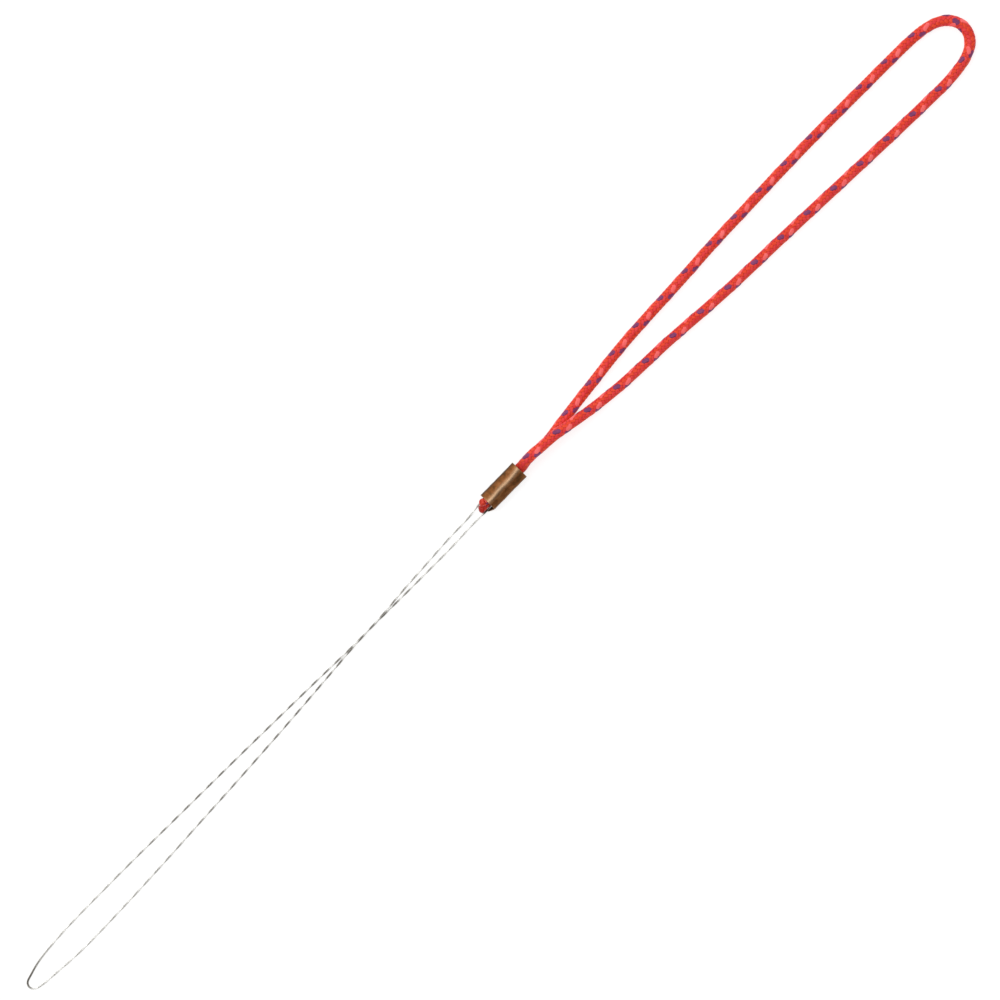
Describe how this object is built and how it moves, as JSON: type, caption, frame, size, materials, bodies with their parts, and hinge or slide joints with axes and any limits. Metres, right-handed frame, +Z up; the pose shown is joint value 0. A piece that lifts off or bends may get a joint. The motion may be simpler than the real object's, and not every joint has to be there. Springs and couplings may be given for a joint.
{
  "type": "tyre plug snare",
  "caption": "Pull-through snare for tyre plugs: a long narrow loop of fine twisted steel wire and a red braided cord loop as its handle, crimped together in a copper sleeve.",
  "frame": {"origin": "on the surface the tool lies on, under the middle of the crimp sleeve's flat underside", "axes": "+X along the tool towards the cord handle, +Z up from the surface it lies on"},
  "size_m": [0.4271, 0.0212, 0.0064],
  "materials": {
    "sleeve_copper": "dull brown copper tube, pressed and handled",
    "cord_red": "red braided nylon with blue and pink tracer yarns",
    "cord_melted": "nylon melted to a glossy bead",
    "cord_core": "white straight yarns",
    "wire_steel": "two fine bare steel wires twisted together"
  },
  "bodies": {
    "crimp": {"crimp_sleeve": "sleeve_copper", "cord_tail_over": "cord_red", "cord_tail_under": "cord_red", "melted_end_over": "cord_melted", "melted_end_under": "cord_melted", "wire_tail_left": "wire_steel", "wire_tail_right": "wire_steel"},
    "handle": {"handle_sheath": "cord_red", "handle_core": "cord_core"},
    "snare": {"snare_wire": "wire_steel"}
  },
  "joints": [
    {"name": "handle_swing", "type": "hinge", "parent": "crimp", "child": "handle", "pos_m": [0.0125, 0.0005, 0], "axis": [0, 0, 1], "range_deg": [-60, 60]},
    {"name": "snare_swing", "type": "hinge", "parent": "crimp", "child": "snare", "pos_m": [-0.014, -0.0003, 0], "axis": [0, 0, 1], "range_deg": [-25, 25], "stiffness_Nm_per_rad": 0.015}
  ]
}
